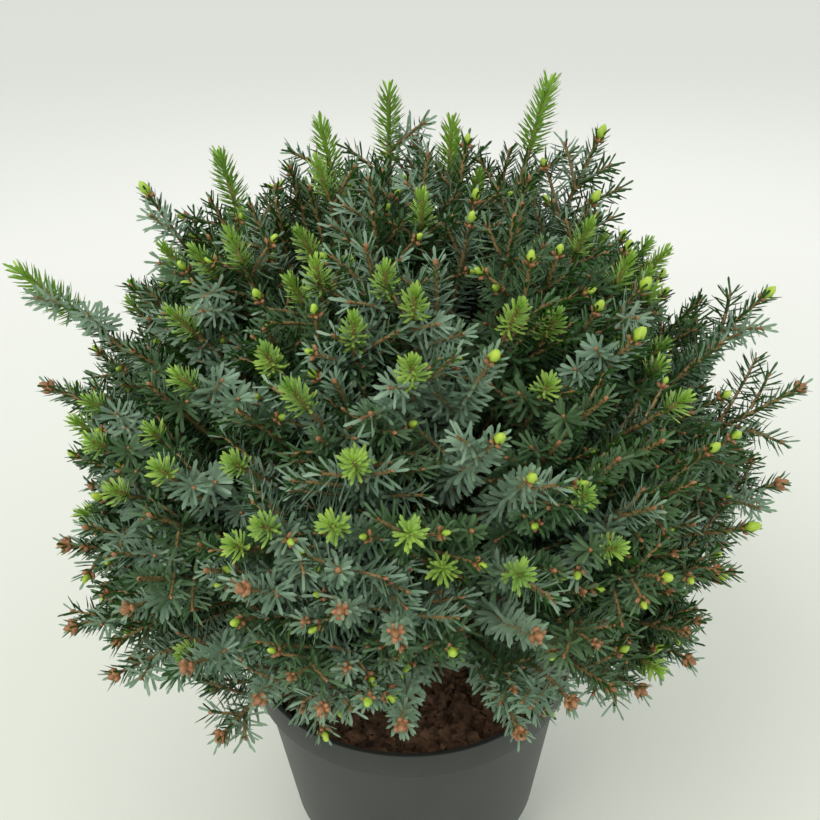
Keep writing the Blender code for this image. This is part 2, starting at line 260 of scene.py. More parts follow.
# %% Finishes
# dark tone, light tone, scale of the patches and roughness of each growing thing
GROWN = {
    "deep_face": ((0.052, 0.120, 0.045), (0.100, 0.190, 0.074), 60.0, 0.50),
    "deep_keel": ((0.016, 0.062, 0.006), (0.040, 0.118, 0.013), 60.0, 0.34),
    "blue_face": ((0.165, 0.280, 0.180), (0.260, 0.385, 0.260), 60.0, 0.50),
    "blue_keel": ((0.026, 0.082, 0.018), (0.052, 0.135, 0.028), 60.0, 0.36),
    "fresh_face": ((0.250, 0.430, 0.090), (0.420, 0.620, 0.110), 60.0, 0.45),
    "fresh_keel": ((0.150, 0.320, 0.035), (0.270, 0.480, 0.050), 60.0, 0.40),
    "lime": ((0.360, 0.560, 0.050), (0.520, 0.680, 0.080), 300.0, 0.45),
    "bud": ((0.280, 0.125, 0.050), (0.480, 0.235, 0.110), 500.0, 0.50),
    "twig": ((0.230, 0.145, 0.055), (0.390, 0.270, 0.110), 250.0, 0.60),
}
# the same four, then strength and scale of the relief
ROUGH = {
    "bark": ((0.055, 0.032, 0.020), (0.190, 0.120, 0.075), 140.0, 0.85, 0.9, 420.0),
    "pot plastic": ((0.027, 0.031, 0.028), (0.034, 0.039, 0.035), 35.0, 0.48, 0.12, 1600.0),
    "potting mix": ((0.020, 0.011, 0.007), (0.110, 0.062, 0.034), 210.0, 0.92, 1.0, 600.0),
    "bark chips": ((0.060, 0.030, 0.016), (0.240, 0.130, 0.070), 160.0, 0.85, 0.5, 700.0),
}
finish = {name: make_material(name, *values) for name, values in (GROWN | ROUGH).items()}
print(len(finish), "finishes")

# %% [markdown]
# ## Round shapes
# The pot, the mix, the buds and the limbs are all rings of corners with walls between them.
# Blender could spin or screw a profile, but a few lines of bmesh give rings that we can also
# push about with noise before the faces are made.

# %% Helpers for round shapes


def circle(radius, count):
    """Corners of a regular ring, as pairs of numbers."""
    angles = [2.0 * math.pi * i / count for i in range(count)]
    return [(radius * math.cos(angle), radius * math.sin(angle)) for angle in angles]


def bridge(builder, rings):
    """Four-sided faces between each ring and the next."""
    for lower, upper in zip(rings, rings[1:]):
        for i in range(len(lower)):
            j = (i + 1) % len(lower)
            builder.faces.new((lower[i], lower[j], upper[j], upper[i]))


def turn(profile, segments):
    """A closed mesh from a profile of radius and height, with both ends capped."""
    builder = bmesh.new()
    rings = []
    for radius, height in profile:
        rings.append([builder.verts.new((x, y, height)) for x, y in circle(radius, segments)])
    bridge(builder, rings)
    builder.faces.new(rings[0])
    builder.faces.new(rings[-1])
    bmesh.ops.recalc_face_normals(builder, faces=builder.faces)
    return builder


def link_object(name, mesh):
    thing = bpy.data.objects.new(name, mesh)
    bpy.context.scene.collection.objects.link(thing)
    return thing


def to_object(name, builder, *materials):
    """An object from a finished bmesh, which is freed."""
    mesh = bpy.data.meshes.new(name)
    builder.to_mesh(mesh)
    builder.free()
    for material in materials:
        mesh.materials.append(material)
    return link_object(name, mesh)


def triangle_count(thing):
    return sum(len(polygon.vertices) - 2 for polygon in thing.data.polygons)


print("corners of a small ring:", [(round(x, 1), round(y, 1)) for x, y in circle(1.0, 4)])

# %% [markdown]
# ## The pot
# A nursery pot is blown or moulded round an axis, so its wall is a profile turned through a
# full circle. We write that profile once, from the base up the outside, over the lip and
# down the inside. A small Bevel rounds the edges, where a real pot catches the light.

# %% Turn the pot
POT_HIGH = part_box("pot")[1]
POT_TOP = POT_HIGH.z
BAND_RADIUS = POT_HIGH.x
RIM_RADIUS = BAND_RADIUS - 0.0005
BAND_HEIGHT = 0.015
BAND_STEP = 0.0015
LIP_WIDTH = 0.0030
LIP_DRAFT = 0.0006
LIP_DEPTH = 0.004
WALL = 0.0016
BODY_TOP_RADIUS = 0.0908
BREAK_RADIUS = 0.0773
BREAK_HEIGHT = 0.037
BASE_RADIUS = 0.0640
BASE_THICKNESS = 0.0020
POT_SEGMENTS = 144
EDGE_ROUND = 0.0007
EDGE_SEGMENTS = 3
EDGE_ANGLE = math.radians(12)

shoulder = POT_TOP - BAND_HEIGHT
pot_profile = [
    (BASE_RADIUS, 0.0),
    (BREAK_RADIUS, BREAK_HEIGHT),
    (BODY_TOP_RADIUS, shoulder - BAND_STEP),
    (BAND_RADIUS, shoulder),
    (RIM_RADIUS, POT_TOP),
    (RIM_RADIUS - LIP_WIDTH, POT_TOP),
    (RIM_RADIUS - LIP_WIDTH - LIP_DRAFT, POT_TOP - LIP_DEPTH),
    (BODY_TOP_RADIUS - WALL, shoulder - BAND_STEP),
    (BREAK_RADIUS - WALL, BREAK_HEIGHT),
    (BASE_RADIUS - WALL, BASE_THICKNESS),
]
pot = to_object("pot_wall", turn(pot_profile, POT_SEGMENTS), finish["pot plastic"])
pot.data.shade_smooth()
soft_edges = pot.modifiers.new("soft edges", "BEVEL")
soft_edges.width = EDGE_ROUND
soft_edges.segments = EDGE_SEGMENTS
soft_edges.limit_method = "ANGLE"
soft_edges.angle_limit = EDGE_ANGLE
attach(pot, "root")
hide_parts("pot")
print("pot", round(2000 * BAND_RADIUS), "mm across,", round(1000 * POT_TOP), "mm high")

# %% [markdown]
# ## A way to run Geometry Nodes
# Needles, buds, twigs and chips are all made by node trees. Each tree gets named inputs, and
# a modifier's inputs are set by the identifiers of its sockets. This helper sets them,
# evaluates the object once, keeps the result as a plain mesh and drops the modifier.

# %% Build and run a tree


def new_tree(name, inputs):
    """An empty tree with a geometry input and output and the named inputs."""
    tree = bpy.data.node_groups.new(name, "GeometryNodeTree")
    tree.interface.new_socket("Geometry", in_out="INPUT", socket_type="NodeSocketGeometry")
    for label, kind in inputs.items():
        tree.interface.new_socket(label, in_out="INPUT", socket_type="NodeSocket" + kind)
    tree.interface.new_socket("Geometry", in_out="OUTPUT", socket_type="NodeSocketGeometry")
    start = tree.nodes.new("NodeGroupInput")
    end = tree.nodes.new("NodeGroupOutput")
    return tree, start, end


def read_attribute(nodes, name, kind):
    """The output of a node that reads a stored attribute."""
    reader = nodes.new("GeometryNodeInputNamedAttribute")
    reader.data_type = kind
    reader.inputs["Name"].default_value = name
    return reader.outputs["Attribute"]


def run_tree(thing, tree, **values):
    """Replace an object's mesh by what the tree makes of it."""
    modifier = thing.modifiers.new("grow", "NODES")
    modifier.node_group = tree
    for item in tree.interface.items_tree:
        key = item.name.lower()
        if item.in_out == "INPUT" and key in values:
            modifier[item.identifier] = values[key]
    shape = thing.evaluated_get(bpy.context.evaluated_depsgraph_get())
    mesh = bpy.data.meshes.new_from_object(shape)
    thing.modifiers.remove(modifier)
    thing.data = mesh
    return thing


# %% [markdown]
# ## The dealer tree
# This tree puts a copy of a small object on every point it gets. The points carry how far
# each copy is turned and how large it is. A fixed seed varies the sizes slightly. The copies
# are made real, and then two Set Material nodes paint the keeled side and the flat face.

# %% The dealer tree
DEALER_SEED = 7


def dealer_tree():
    inputs = {"Copy": "Object", "Spread": "Float", "Keel": "Material", "Face": "Material"}
    tree, start, end = new_tree("dealer", inputs)
    nodes = tree.nodes
    link = tree.links.new
    source = nodes.new("GeometryNodeObjectInfo")
    deal_out = nodes.new("GeometryNodeInstanceOnPoints")
    chance = nodes.new("FunctionNodeRandomValue")
    chance.data_type = "FLOAT"
    chance.inputs["Min"].default_value = -1.0
    chance.inputs["Max"].default_value = 1.0
    chance.inputs["Seed"].default_value = DEALER_SEED
    sway = nodes.new("ShaderNodeMath")
    sway.operation = "MULTIPLY_ADD"
    sway.inputs[2].default_value = 1.0
    grow = nodes.new("ShaderNodeMath")
    grow.operation = "MULTIPLY"
    real = nodes.new("GeometryNodeRealizeInstances")
    keel = nodes.new("GeometryNodeSetMaterial")
    face = nodes.new("GeometryNodeSetMaterial")
    link(start.outputs["Geometry"], deal_out.inputs["Points"])
    link(start.outputs["Copy"], source.inputs["Object"])
    link(source.outputs["Geometry"], deal_out.inputs["Instance"])
    link(read_attribute(nodes, "turn", "FLOAT_VECTOR"), deal_out.inputs["Rotation"])
    link(by_identifier(chance.outputs, "Value_001"), sway.inputs[0])
    link(start.outputs["Spread"], sway.inputs[1])
    link(sway.outputs["Value"], grow.inputs[0])
    link(read_attribute(nodes, "size", "FLOAT"), grow.inputs[1])
    link(grow.outputs["Value"], deal_out.inputs["Scale"])
    link(deal_out.outputs["Instances"], real.inputs["Geometry"])
    link(real.outputs["Geometry"], keel.inputs["Geometry"])
    link(start.outputs["Keel"], keel.inputs["Material"])
    link(keel.outputs["Geometry"], face.inputs["Geometry"])
    link(read_attribute(nodes, "flat_face", "BOOLEAN"), face.inputs["Selection"])
    link(start.outputs["Face"], face.inputs["Material"])
    link(face.outputs["Geometry"], end.inputs["Geometry"])
    return tree


DEALER = dealer_tree()
print("dealer tree:", len(DEALER.nodes), "nodes")

# %% [markdown]
# ## Dealing out copies
# The points are worked out with arrays. The tree wants the turn of each copy as Euler angles,
# so we read them off the three axes that the copy should have.

# %% Deal out copies
SIZE_SPREAD = 0.12


def turns_from_axes(across, ahead, upward):
    """Euler angles of the frames whose axes are given, row by row."""
    tip_down = np.arcsin(np.clip(-across[:, 2], -1.0, 1.0))
    roll = np.arctan2(ahead[:, 2], upward[:, 2])
    spin = np.arctan2(across[:, 1], across[:, 0])
    return np.stack([roll, tip_down, spin], axis=1)


def deal(name, copy, places, turns, sizes, keel, face, spread=SIZE_SPREAD):
    """One piece of many copies, each with its own place, turn and size."""
    mesh = bpy.data.meshes.new(name)
    mesh.from_pydata(np.asarray(places).tolist(), [], [])
    turn_store = mesh.attributes.new("turn", "FLOAT_VECTOR", "POINT")
    turn_store.data.foreach_set("vector", np.asarray(turns, np.float32).ravel())
    size_store = mesh.attributes.new("size", "FLOAT", "POINT")
    size_store.data.foreach_set("value", np.asarray(sizes, np.float32))
    return run_tree(link_object(name, mesh), DEALER, copy=copy, spread=spread, keel=keel, face=face)


# %% [markdown]
# ## The potting mix
# The mix fills the pot, a finger's breadth below the rim. Its surface is a fine disc pushed up
# and down by noise, once in broad lumps and once in crumbs, so that it is never flat where it
# shows between the shoots.

# %% Potting mix
SOIL_TOP = 0.138
MIX_RADIUS = 0.0888
MIX_DEPTH = 0.035
MIX_DRAFT = 0.004
MIX_RINGS = 46
MIX_SECTORS = 120
# frequency, height and layer of the noise for lumps and for crumbs
MIX_NOISE = ((45.0, 0.0028, 2.0), (190.0, 0.0013, 5.0))


def mix_height(x, y):
    height = SOIL_TOP
    for frequency, rise, layer in MIX_NOISE:
        height += noise.noise(Vector((x * frequency, y * frequency, layer))) * rise
    return height


mix_profile = [(MIX_RADIUS * i / MIX_RINGS, SOIL_TOP) for i in range(1, MIX_RINGS + 1)]
mix_profile.append((MIX_RADIUS - MIX_DRAFT, SOIL_TOP - MIX_DEPTH))
mix_builder = turn(mix_profile, MIX_SECTORS)
for vertex in mix_builder.verts:
    if vertex.co.z > SOIL_TOP - MIX_DEPTH / 2:
        vertex.co.z = mix_height(vertex.co.x, vertex.co.y)
mix = to_object("potting_mix_top", mix_builder, finish["potting mix"])
mix.data.shade_smooth()
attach(mix, "root")
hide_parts("potting_mix")
print("mix:", triangle_count(mix), "triangles")

# %% [markdown]
# ## Bark chips
# Chips and crumbs of bark are scattered over the mix, half sunk. A chip is a cube with its
# corners moved by chance. The dealer tree scatters them, which saves modelling them by hand
# and keeps them in place on every run.

# %% Bark chips
# length, width and height of a chip and of a crumb
CHIP_SHAPES = ((0.011, 0.005, 0.002), (0.005, 0.003, 0.002))
CHIPS_OF_EACH = 750
CHIP_SEED = 4
CHIP_JITTER = 0.2
CHIP_REACH = MIX_RADIUS * 0.97
CHIP_LIFT = 0.0004
CHIP_TILT = 0.5
CHIP_SIZES = (0.5, 1.15)
# chips lie between these shares of the disc's area, clear of the very middle
CHIP_AREAS = (0.03, 1.0)


def chip_prototype(length, width, height, seed):
    rng = random.Random(seed)
    builder = bmesh.new()
    bmesh.ops.create_cube(builder, size=1.0)
    for vertex in builder.verts:
        corner = vertex.co + Vector([rng.uniform(-CHIP_JITTER, CHIP_JITTER) for _ in range(3)])
        vertex.co = Vector((corner.x * length, corner.y * width, corner.z * height))
    bmesh.ops.triangulate(builder, faces=builder.faces)
    return to_object("chip", builder)


chip_rng = np.random.default_rng(CHIP_SEED)
for number, chip_shape in enumerate(CHIP_SHAPES):
    chip = chip_prototype(*chip_shape, number)
    reach = CHIP_REACH * np.sqrt(chip_rng.uniform(*CHIP_AREAS, CHIPS_OF_EACH))
    heading = chip_rng.uniform(0, 2 * math.pi, CHIPS_OF_EACH)
    spots = np.stack([reach * np.cos(heading), reach * np.sin(heading), 0 * reach], axis=1)
    spots[:, 2] = [mix_height(x, y) + CHIP_LIFT for x, y in spots[:, :2]]
    turns = chip_rng.uniform(-CHIP_TILT, CHIP_TILT, (CHIPS_OF_EACH, 3))
    turns[:, 2] = chip_rng.uniform(0, 2 * math.pi, CHIPS_OF_EACH)
    sizes = chip_rng.uniform(*CHIP_SIZES, CHIPS_OF_EACH)
    chip_finish = finish["bark chips"]
    chips = deal(f"chips_{number + 1}", chip, spots, turns, sizes, chip_finish, chip_finish)
    bpy.data.objects.remove(chip)
    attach(chips, "root")
    print(chips.name, CHIPS_OF_EACH, "pieces,", triangle_count(chips), "triangles")

# %% [markdown]
# ## The dome and its masses
# The crown is a dome round a hub inside the plant. Masses of foliage sit in rings, and each
# owns the directions that lie nearest to its axis. We could scatter shoots over one big dome,
# but this rule also made the masses of the solid model, so the shoots fill the same space.

# %% The dome and its masses
HUB = Vector((0.0, 0.012, 0.200))
CROWN_Y = 0.020
CROWN_RADIUS = 0.186
WAIST_Z = 0.262
CROWN_RISE = 0.174
CROWN_DROP = 0.115
RISE_POWER = 1.85
DROP_POWER = 2.1
HALVINGS = 18
TOP_MASS = "crown"
TOP_SHOOTS = 18
# angles in degrees; lowest and highest say where the boughs of a ring leave the trunk
Ring = namedtuple("Ring", "name elevation count first shoots lowest highest stride")
RINGS = (
    Ring("upper", 61.0, 5, -88.0, 24, 0.234, 0.254, 2),
    Ring("middle", 31.0, 8, 80.0, 22, 0.188, 0.224, 3),
    Ring("skirt", 2.0, 9, 10.0, 19, 0.157, 0.175, 4),
)


def aim(azimuth, elevation):
    """A direction from the hub. Azimuth 0 is the front and 90 is the right."""
    turned = math.radians(azimuth)
    rise = math.radians(elevation)
    flat = math.cos(rise)
    return Vector((math.sin(turned) * flat, -math.cos(turned) * flat, math.sin(rise)))


def inside_dome(point):
    rise = point.z - WAIST_Z
    height = CROWN_RISE if rise > 0 else CROWN_DROP
    power = RISE_POWER if rise > 0 else DROP_POWER
    spread = math.hypot(point.x, point.y - CROWN_Y) / CROWN_RADIUS
    return spread**power + (abs(rise) / height) ** power < 1.0


def dome_reach(direction):
    """The distance from the hub to the skin of the dome, by halving."""
    near = 0.0
    far = CROWN_RADIUS + CROWN_RISE
    for _ in range(HALVINGS):
        middle = (near + far) / 2
        if inside_dome(HUB + direction * middle):
            near = middle
        else:
            far = middle
    return near


def mass_axes():
    axes = {TOP_MASS: Vector((0, 0, 1))}
    for ring in RINGS:
        for i in range(ring.count):
            axes[f"{ring.name}_{i + 1}"] = aim(ring.first + 360.0 * i / ring.count, ring.elevation)
    return axes


def nearest_mass(direction):
    return max(AXES, key=lambda name: AXES[name].dot(direction))


AXES = mass_axes()
print(len(AXES), "masses")

# %% [markdown]
# ## The limits of a mass
# A shoot must not push into the space of the next mass, nor into the pot. The front of the
# skirt is parted and short, because there the real plant shows its pot's rim and some of the
# mix. These small tests keep all that in one place.

# %% The limits of a mass
HEM_ELEVATION = -15.0
WIDEST_HALF_ANGLE = math.radians(26.0)
ANGLE_STEP = math.radians(1.0)
POT_GAP = 0.004
STEEP = 0.9
# first and last azimuth of a stretch of the front, and the lowest elevation there
FRINGE = ((0.0, 13.0, 21.0), (-26.0, 26.0, 10.0), (-50.0, 50.0, 3.0))


def side_frame(direction):
    """Two directions square to a given one and to each other."""
    helper = Vector((0, 0, 1)) if abs(direction.z) < STEEP else Vector((0, -1, 0))
    across = direction.cross(helper).normalized()
    return across, direction.cross(across).normalized()


def around(across, along, turned):
    return across * math.cos(turned) + along * math.sin(turned)


def above_fringe(direction, slack=0.0):
    azimuth = math.degrees(math.atan2(direction.x, -direction.y))
    elevation = math.degrees(math.asin(direction.normalized().z))
    for first, last, lowest in FRINGE:
        if first < azimuth < last:
            return elevation > lowest - slack
    return True


def keeps_to_cell(name, point, gap):
    """Whether a point lies on its own mass's side of every border, and clear of the pot."""
    offset = point - HUB
    own = AXES[name]
    for other, axis in AXES.items():
        if other != name and offset.dot((own - axis).normalized()) < gap:
            return False
    over_pot = math.hypot(point.x, point.y) < BAND_RADIUS + POT_GAP
    return not (over_pot and point.z < POT_TOP + POT_GAP)


def wedge_half_angle(name, tilt):
    """How far a mass reaches from its axis towards one side."""
    axis = AXES[name]
    lowest = math.sin(math.radians(HEM_ELEVATION))
    half = 0.0
    while half + ANGLE_STEP < WIDEST_HALF_ANGLE:
        direction = around(axis, tilt, half + ANGLE_STEP)
        if nearest_mass(direction) != name or direction.z < lowest:
            break
        half += ANGLE_STEP
    return half


front_half = wedge_half_angle(TOP_MASS, Vector((0, -1, 0)))
print("the top mass reaches", round(math.degrees(front_half)), "degrees to the front")

# %% [markdown]
# ## Tips that can be told apart
# Some shoots stand out of the dome or face us as a rosette, and a viewer would miss them.
# They are listed, as a direction and a reach from the hub, with what grows there: a
# brush of new needles, a short tuft, a lime knob or a cluster of dry buds.

# %% Tips that can be told apart
# azimuth and elevation in degrees, reach in metres, and what grows at the tip
LEADERS = {
    "left arm": (-85.0, 45.0, 0.262, "brush"),
    "left shoulder": (-98.0, 59.0, 0.248, "knob"),
    "left crest": (-109.0, 67.0, 0.246, "brush"),
    "crown left": (-134.0, 77.0, 0.246, "brush"),
    "crown middle": (-172.0, 82.0, 0.258, "brush"),
    "crown small": (148.0, 78.0, 0.243, "brush"),
    "crown right": (112.0, 73.0, 0.271, "brush"),
    "right crest": (106.0, 66.0, 0.255, "knob"),
    "right wing": (86.0, 42.0, 0.242, "knob"),
    "right arm": (79.0, 32.0, 0.234, "bud"),
    "right elbow": (72.0, 23.0, 0.210, "bud"),
    "left wing": (-80.0, 36.0, 0.222, "bud"),
    "left hip": (-62.0, 22.0, 0.198, "bud"),
    "left foot": (-58.0, 11.0, 0.194, "bud"),
    "right foot": (47.0, 8.0, 0.178, "bud"),
}
ROSETTES = (
    (92.0, 65.7, 0.228, "knob"),
    (61.6, 57.0, 0.221, "knob"),
    (48.7, 53.2, 0.217, "knob"),
    (51.0, 44.4, 0.214, "tuft"),
    (61.8, 22.3, 0.196, "knob"),
    (38.5, 5.9, 0.169, "bud"),
    (22.0, 14.0, 0.182, "bud"),
    (-69.0, 37.0, 0.209, "tuft"),
    (-48.0, 8.4, 0.187, "bud"),
    (-30.5, 3.8, 0.171, "bud"),
    (-4.6, 67.0, 0.226, "tuft"),
    (-43.7, 50.8, 0.217, "tuft"),
    (16.0, 55.8, 0.219, "knob"),
    (-8.0, 46.0, 0.213, "tuft"),
    (14.0, 47.5, 0.212, "knob"),
    (18.0, 43.0, 0.209, "knob"),
    (-11.0, 39.5, 0.206, "tuft"),
    (-21.0, 38.4, 0.206, "tuft"),
    (14.6, 33.2, 0.203, "tuft"),
    (16.3, 25.7, 0.195, "bud"),
    (-9.0, 30.3, 0.199, "bud"),
    (-2.0, 28.0, 0.197, "bud"),
    (-42.0, 22.5, 0.196, "bud"),
    (-22.5, 31.0, 0.200, "bud"),
    (-32.0, 17.7, 0.188, "bud"),
    (-20.7, 16.5, 0.186, "bud"),
    (-12.0, 16.7, 0.185, "bud"),
    (15.3, 9.2, 0.173, "bud"),
    (-1.5, 14.6, 0.182, "bud"),
)
print(len(LEADERS), "leaders and", len(ROSETTES), "rosettes")

# %% [markdown]
# ## The tips of a mass
# Every mass gets its tips on a golden spiral that is stretched to fill its share of the dome,
# because such a spiral covers a patch evenly with any number of points. The listed tips take
# the places nearest to them. The upper half of the plant has woken first, so it has more
# tufts.

# %% The tips of a mass
SEED = 11
GOLDEN_ANGLE = 180.0 * (3.0 - math.sqrt(5.0))
SPIRAL_JITTER = 6.0
SPIRAL_FILL = 0.95
TIP_REACH = (0.90, 1.02)
# from this elevation up, this share of the tips has grown a tuft
AWAKE = ((48.0, 0.48), (30.0, 0.28), (-90.0, 0.10))
KNOB_SHARE = 0.17


def tip_kind(rng, elevation):
    draw = rng.random()
    awake = next(share for lowest, share in AWAKE if elevation > lowest)
    if draw < awake:
        return "tuft"
    return "knob" if draw < awake + KNOB_SHARE else "bud"


def shoot_count(name):
    for ring in RINGS:
        if name.startswith(ring.name):
            return ring.shoots
    return TOP_SHOOTS


def shoot_tips(name):
    """Offsets from the hub, what grows there, and whether the tip is a listed one."""
    rng = random.Random(f"{SEED} tips {name}")
    axis = AXES[name]
    across, along = side_frame(axis)
    count = shoot_count(name)
    start = rng.uniform(0, 360.0)
    tips = []
    for i in range(count):
        turned = start + GOLDEN_ANGLE * i + rng.uniform(-SPIRAL_JITTER, SPIRAL_JITTER)
        tilt = around(across, along, math.radians(turned))
        half = wedge_half_angle(name, tilt) * SPIRAL_FILL * math.sqrt((i + 0.5) / (count - 0.5))
        direction = around(axis, tilt, half)
        reach = dome_reach(direction) * rng.uniform(*TIP_REACH)
        kind = tip_kind(rng, math.degrees(math.asin(direction.z)))
        tips.append((direction * reach, kind, False))
    free = list(range(count))
    for azimuth, elevation, reach, kind in (*ROSETTES, *LEADERS.values()):
        wanted = aim(azimuth, elevation)
        if nearest_mass(wanted) == name:
            nearest = max(free, key=lambda i: tips[i][0].normalized().dot(wanted))
            free.remove(nearest)
            tips[nearest] = (wanted * reach, kind, True)
    return [tip for tip in tips if tip[2] or above_fringe(tip[0])]


print("tips on the top mass:", len(shoot_tips(TOP_MASS)))

# %% [markdown]
# ## Side shoots
# A shoot of a spruce bears side shoots in pairs that get shorter towards its tip. They lie
# nearly in one plane, which is tilted by chance. A side shoot that would leave the space of
# its mass isn't grown.

# %% Side shoots
SIDE_STATIONS = (0.46, 0.58, 0.70, 0.82)
SIDE_ANGLE = math.radians(48.0)
SIDE_ANGLE_JITTER = 0.2
SIDE_LENGTH = 0.036
SIDE_SHARE = 0.75
SIDE_END = 1.05
SIDE_LENGTHS = (0.75, 1.1)
SIDE_LIFTS = (-0.25, 0.35)
SIDE_MISSING = 0.22
SIDE_BUDS = 0.85
SIDE_GAP = 0.0005
SIDE_SLACK = 4.0
SIDE_BEND = 0.06
PLANE_TILT = 0.6
# points on the line of a shoot, by its rank
LINE_POINTS = {"main": 7, "side": 4, "inner": 4}


def curve_points(start, bend, end, count):
    """Points along a curve that starts and ends where asked and is pulled to the bend."""
    points = []
    for i in range(count):
        share = i / (count - 1)
        points.append(start.lerp(bend, share).lerp(bend.lerp(end, share), share))
    return points


def side_shoots(name, line, rng):
    """The lines of the side shoots on one shoot, with what grows at their tips."""
    grown = []
    total = (line[-1] - line[0]).length
    heading = (line[-1] - line[0]).normalized()
    level, _ = side_frame(heading)
    normal = level.cross(heading)
    plane = around(level, normal, rng.uniform(-PLANE_TILT, PLANE_TILT)).normalized()
    for station in SIDE_STATIONS:
        base = line[0].lerp(line[-1], station)
        for side in (-1, 1):
            if rng.random() < SIDE_MISSING:
                continue
            angle = SIDE_ANGLE + rng.uniform(-SIDE_ANGLE_JITTER, SIDE_ANGLE_JITTER)
            away = heading * math.cos(angle) + plane * side * math.sin(angle)
            away = (away + normal * rng.uniform(*SIDE_LIFTS)).normalized()
            longest = min(SIDE_LENGTH, total * (SIDE_END - station) * SIDE_SHARE)
            length = longest * rng.uniform(*SIDE_LENGTHS)
            tip = base + away * length
            short = (tip - HUB).length < (line[-1] - HUB).length
            if short and keeps_to_cell(name, tip, SIDE_GAP) and above_fringe(tip - HUB, SIDE_SLACK):
                bend = base.lerp(tip, 0.5) + heading * length * SIDE_BEND
                kind = "bud" if rng.random() < SIDE_BUDS else "knob"
                grown.append((curve_points(base, bend, tip, LINE_POINTS["side"]), kind))
    return grown


print("at most", 2 * len(SIDE_STATIONS), "side shoots on a main one")

# %% [markdown]
# ## Growing all shoots
# A main shoot starts deep in its mass and bends a little: those of the skirt arch over, the
# others rise at their ends. Shorter inner shoots fill the middle, so that nobody looks right
# through the plant. Listed shoots and a third of the rest show the bluer needles.

# %% Grow all shoots
SHOOT_ROOT = 0.46
SHOOT_GATHER = 0.3
SHOOT_BEND = 0.010
ARCH_SHARE = 0.7
RISE_SHARE = 0.5
ARCH_BELOW = 0.25
BEND_PLACE = 0.55
BLUE_SHARE = 0.35
INNER_SHOOTS = 24
INNER_FILL = 0.9
INNER_SLACK = 3.0
# where an inner shoot starts and ends, as shares of the dome's reach
INNER_LAYERS = ((0.36, 0.70), (0.40, 0.86), (0.10, 0.52))
# the top and the upper masses whose axis has less y than this are joined to the front
TOP_FRONT = 0.2
Shoot = namedtuple("Shoot", "region rank line tip tint listed")


def region_of(name):
    """The part of the plant whose pieces a mass is joined to."""
    if name == TOP_MASS or name.startswith("upper"):
        return "top_front" if AXES[name].y < TOP_FRONT else "top_back"
    half = "front" if AXES[name].y < 0 else "back"
    return name.split("_")[0] + "_" + half


def sway_by(rng):
    return Vector((rng.uniform(-SHOOT_BEND, SHOOT_BEND), rng.uniform(-SHOOT_BEND, SHOOT_BEND), 0))


def outer_shoots(name, rng):
    region = region_of(name)
    for offset, kind, listed in shoot_tips(name):
        direction = offset.normalized()
        root = direction.lerp(AXES[name], SHOOT_GATHER).normalized()
        start = HUB + root * dome_reach(direction) * SHOOT_ROOT
        end = HUB + offset
        arch = SHOOT_BEND * ARCH_SHARE if direction.z < ARCH_BELOW else -SHOOT_BEND * RISE_SHARE
        bend = start.lerp(end, BEND_PLACE) + sway_by(rng) + Vector((0, 0, arch))
        line = curve_points(start, bend, end, LINE_POINTS["main"])
        tint = "blue" if listed or rng.random() < BLUE_SHARE else "deep"
        yield Shoot(region, "main", line, kind, tint, listed)
        for side_line, side_kind in side_shoots(name, line, rng):
            yield Shoot(region, "side", side_line, side_kind, tint, False)


def inner_shoots(name, rng):
    axis = AXES[name]
    across, along = side_frame(axis)
    for i in range(INNER_SHOOTS):
        tilt = around(across, along, math.radians(GOLDEN_ANGLE * i))
        half = wedge_half_angle(name, tilt) * INNER_FILL * math.sqrt((i + 0.5) / INNER_SHOOTS)
        direction = around(axis, tilt, half)
        if above_fringe(direction, INNER_SLACK):
            reach = dome_reach(direction)
            depth, height = INNER_LAYERS[i % len(INNER_LAYERS)]
            start = HUB + direction * reach * depth
            end = HUB + direction * reach * height
            bend = start.lerp(end, 0.5) + sway_by(rng)
            line = curve_points(start, bend, end, LINE_POINTS["inner"])
            yield Shoot(region_of(name), "inner", line, "none", "deep", False)


shoots = []
for name in AXES:
    grow_rng = random.Random(f"{SEED} grow {name}")
    shoots.extend(outer_shoots(name, grow_rng))
    shoots.extend(inner_shoots(name, grow_rng))
print(len(shoots), "shoots,", sum(shoot.rank == "main" for shoot in shoots), "of them main ones")

# %% [markdown]
# ## One needle
# A needle of this spruce is flat and nearly 12 mm long, with parallel sides and a blunt point.
# Five corners draw its flat face and a sixth one makes the keel below. The flat face is marked
# with an attribute, so that the dealer tree can paint it as the waxy side. Inside the crown
# nobody sees the outline, so four triangles do.

# %% One needle
NEEDLE_LENGTH = 0.0115
NEEDLE_HALF = 0.00085
NEEDLE_DEPTH = 0.0007
NEEDLE_FOOT = NEEDLE_HALF * 0.65
NEEDLE_SHOULDER = NEEDLE_LENGTH * 0.86
KEEL_PLACE = NEEDLE_LENGTH * 0.45
INNER_KEEL_PLACE = NEEDLE_LENGTH * 0.3


def needle_prototype(name, points, faces, flat_count):
    """A needle along +Y whose first faces are the flat side."""
    mesh = bpy.data.meshes.new(name)
    mesh.from_pydata(points, [], faces)
    marks = mesh.attributes.new("flat_face", "BOOLEAN", "FACE")
    marks.data.foreach_set("value", [i < flat_count for i in range(len(faces))])
    mesh.update()
    return link_object(name, mesh)


